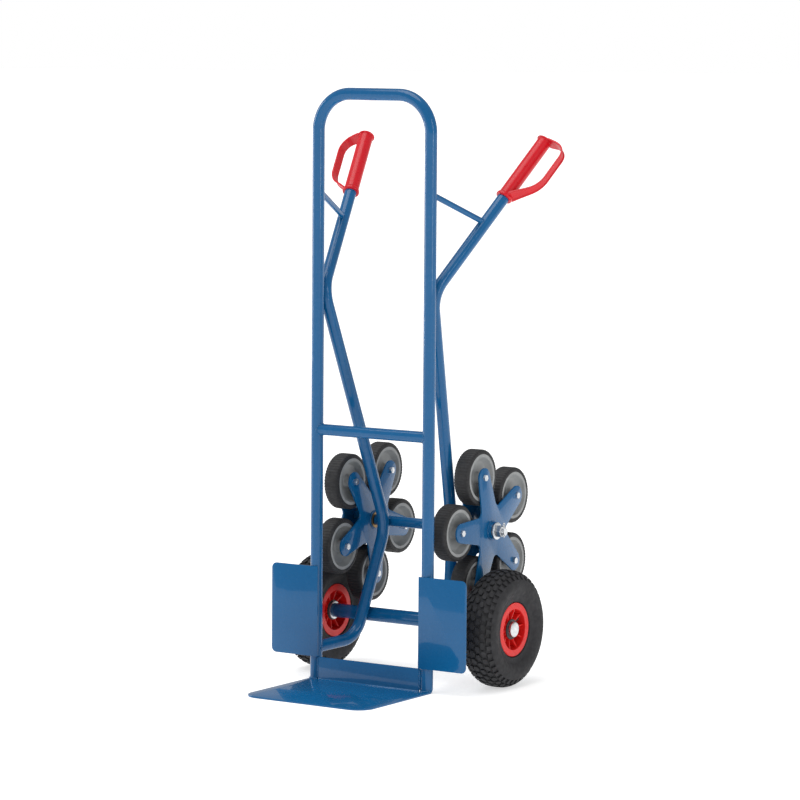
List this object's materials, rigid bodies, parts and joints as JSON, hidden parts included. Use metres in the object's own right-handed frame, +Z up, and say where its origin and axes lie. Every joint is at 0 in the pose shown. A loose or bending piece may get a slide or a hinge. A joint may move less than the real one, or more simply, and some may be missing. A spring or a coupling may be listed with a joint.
{
  "type": "stair-climbing hand truck",
  "caption": "Tubular hand truck with a toe plate, two guarded handles, two air-filled wheels and two turning star carriers of small wheels that walk it up steps.",
  "frame": {"origin": "On the floor, in the middle of the toe plate's heel line, where its flat underside meets the fold.", "axes": "+Z up, -Y towards the load (the toe plate points to -Y), +X to the right when the truck is seen from its load side; the two halves mirror across X = 0 apart from the turn of the star carriers."},
  "size_m": [0.5982, 0.6627, 1.315],
  "materials": {
    "blue_paint": "glossy powder coat",
    "grip_plastic": "moulded, semi-gloss",
    "rim_plastic": "moulded, semi-gloss",
    "tyre_rubber": "moulded rubber with a block tread",
    "inner_tube_rubber": "smooth rubber",
    "valve_rubber": "moulded rubber",
    "bush_plastic": "moulded",
    "small_rim_plastic": "moulded, light grey",
    "small_tread_rubber": "moulded rubber with cross ribs",
    "bush_bronze": "turned bronze",
    "zinc_steel": "bright zinc plating"
  },
  "bodies": {
    "chassis": {"frame_leg_right": "blue_paint", "frame_leg_left": "blue_paint", "frame_bend_right": "blue_paint", "frame_bend_left": "blue_paint", "frame_top_bar": "blue_paint", "upper_crossbar": "blue_paint", "side_tube_right": "blue_paint", "side_tube_left": "blue_paint", "strut_right": "blue_paint", "strut_left": "blue_paint", "toe_plate": "blue_paint", "wheel_guard_right": "blue_paint", "wheel_guard_left": "blue_paint", "grip_right": "grip_plastic", "grip_left": "grip_plastic", "main_axle_tube": "blue_paint", "main_axle_rod": "zinc_steel", "axle_washers": "zinc_steel", "axle_caps": "zinc_steel", "star_axle_tube": "blue_paint", "star_axle_rod": "zinc_steel", "star_washers": "zinc_steel", "star_nuts": "zinc_steel", "split_pins": "zinc_steel"},
    "main_wheel_right": {"tyre_right": "tyre_rubber", "inner_tube_right": "inner_tube_rubber", "rim_right": "rim_plastic", "rim_bushes_right": "bush_plastic", "valve_right": "valve_rubber"},
    "star_right": {"star_plates_right": "blue_paint", "star_hub_right": "blue_paint", "star_bushes_right": "bush_bronze", "star_bolts_right": "zinc_steel", "star_sleeves_right": "zinc_steel"},
    "small_wheel_right_1": {"small_rim_right_1": "small_rim_plastic", "small_tread_right_1": "small_tread_rubber"},
    "small_wheel_right_2": {"small_rim_right_2": "small_rim_plastic", "small_tread_right_2": "small_tread_rubber"},
    "small_wheel_right_3": {"small_rim_right_3": "small_rim_plastic", "small_tread_right_3": "small_tread_rubber"},
    "small_wheel_right_4": {"small_rim_right_4": "small_rim_plastic", "small_tread_right_4": "small_tread_rubber"},
    "small_wheel_right_5": {"small_rim_right_5": "small_rim_plastic", "small_tread_right_5": "small_tread_rubber"},
    "main_wheel_left": {"tyre_left": "tyre_rubber", "inner_tube_left": "inner_tube_rubber", "rim_left": "rim_plastic", "rim_bushes_left": "bush_plastic", "valve_left": "valve_rubber"},
    "star_left": {"star_plates_left": "blue_paint", "star_hub_left": "blue_paint", "star_bushes_left": "bush_bronze", "star_bolts_left": "zinc_steel", "star_sleeves_left": "zinc_steel"},
    "small_wheel_left_1": {"small_rim_left_1": "small_rim_plastic", "small_tread_left_1": "small_tread_rubber"},
    "small_wheel_left_2": {"small_rim_left_2": "small_rim_plastic", "small_tread_left_2": "small_tread_rubber"},
    "small_wheel_left_3": {"small_rim_left_3": "small_rim_plastic", "small_tread_left_3": "small_tread_rubber"},
    "small_wheel_left_4": {"small_rim_left_4": "small_rim_plastic", "small_tread_left_4": "small_tread_rubber"},
    "small_wheel_left_5": {"small_rim_left_5": "small_rim_plastic", "small_tread_left_5": "small_tread_rubber"}
  },
  "joints": [
    {"name": "main_wheel_right_spin", "type": "hinge", "parent": "chassis", "child": "main_wheel_right", "pos_m": [0.237, 0.18, 0.13], "axis": [1, 0, 0], "continuous": true},
    {"name": "star_right_spin", "type": "hinge", "parent": "chassis", "child": "star_right", "pos_m": [0.1558, 0.224, 0.338], "axis": [1, 0, 0], "continuous": true},
    {"name": "small_wheel_right_1_spin", "type": "hinge", "parent": "star_right", "child": "small_wheel_right_1", "pos_m": [0.1558, 0.32833, 0.40575], "axis": [1, 0, 0], "continuous": true},
    {"name": "small_wheel_right_2_spin", "type": "hinge", "parent": "star_right", "child": "small_wheel_right_2", "pos_m": [0.1558, 0.1918, 0.45816], "axis": [1, 0, 0], "continuous": true},
    {"name": "small_wheel_right_3_spin", "type": "hinge", "parent": "star_right", "child": "small_wheel_right_3", "pos_m": [0.1558, 0.09977, 0.34451], "axis": [1, 0, 0], "continuous": true},
    {"name": "small_wheel_right_4_spin", "type": "hinge", "parent": "star_right", "child": "small_wheel_right_4", "pos_m": [0.1558, 0.17942, 0.22186], "axis": [1, 0, 0], "continuous": true},
    {"name": "small_wheel_right_5_spin", "type": "hinge", "parent": "star_right", "child": "small_wheel_right_5", "pos_m": [0.1558, 0.32068, 0.25971], "axis": [1, 0, 0], "continuous": true},
    {"name": "main_wheel_left_spin", "type": "hinge", "parent": "chassis", "child": "main_wheel_left", "pos_m": [-0.237, 0.18, 0.13], "axis": [1, 0, 0], "continuous": true},
    {"name": "star_left_spin", "type": "hinge", "parent": "chassis", "child": "star_left", "pos_m": [-0.1558, 0.224, 0.338], "axis": [1, 0, 0], "continuous": true},
    {"name": "small_wheel_left_1_spin", "type": "hinge", "parent": "star_left", "child": "small_wheel_left_1", "pos_m": [-0.1558, 0.28807, 0.44463], "axis": [1, 0, 0], "continuous": true},
    {"name": "small_wheel_left_2_spin", "type": "hinge", "parent": "star_left", "child": "small_wheel_left_2", "pos_m": [-0.1558, 0.14239, 0.43189], "axis": [1, 0, 0], "continuous": true},
    {"name": "small_wheel_left_3_spin", "type": "hinge", "parent": "star_left", "child": "small_wheel_left_3", "pos_m": [-0.1558, 0.10949, 0.28939], "axis": [1, 0, 0], "continuous": true},
    {"name": "small_wheel_left_4_spin", "type": "hinge", "parent": "star_left", "child": "small_wheel_left_4", "pos_m": [-0.1558, 0.23484, 0.21407], "axis": [1, 0, 0], "continuous": true},
    {"name": "small_wheel_left_5_spin", "type": "hinge", "parent": "star_left", "child": "small_wheel_left_5", "pos_m": [-0.1558, 0.34521, 0.31002], "axis": [1, 0, 0], "continuous": true}
  ]
}
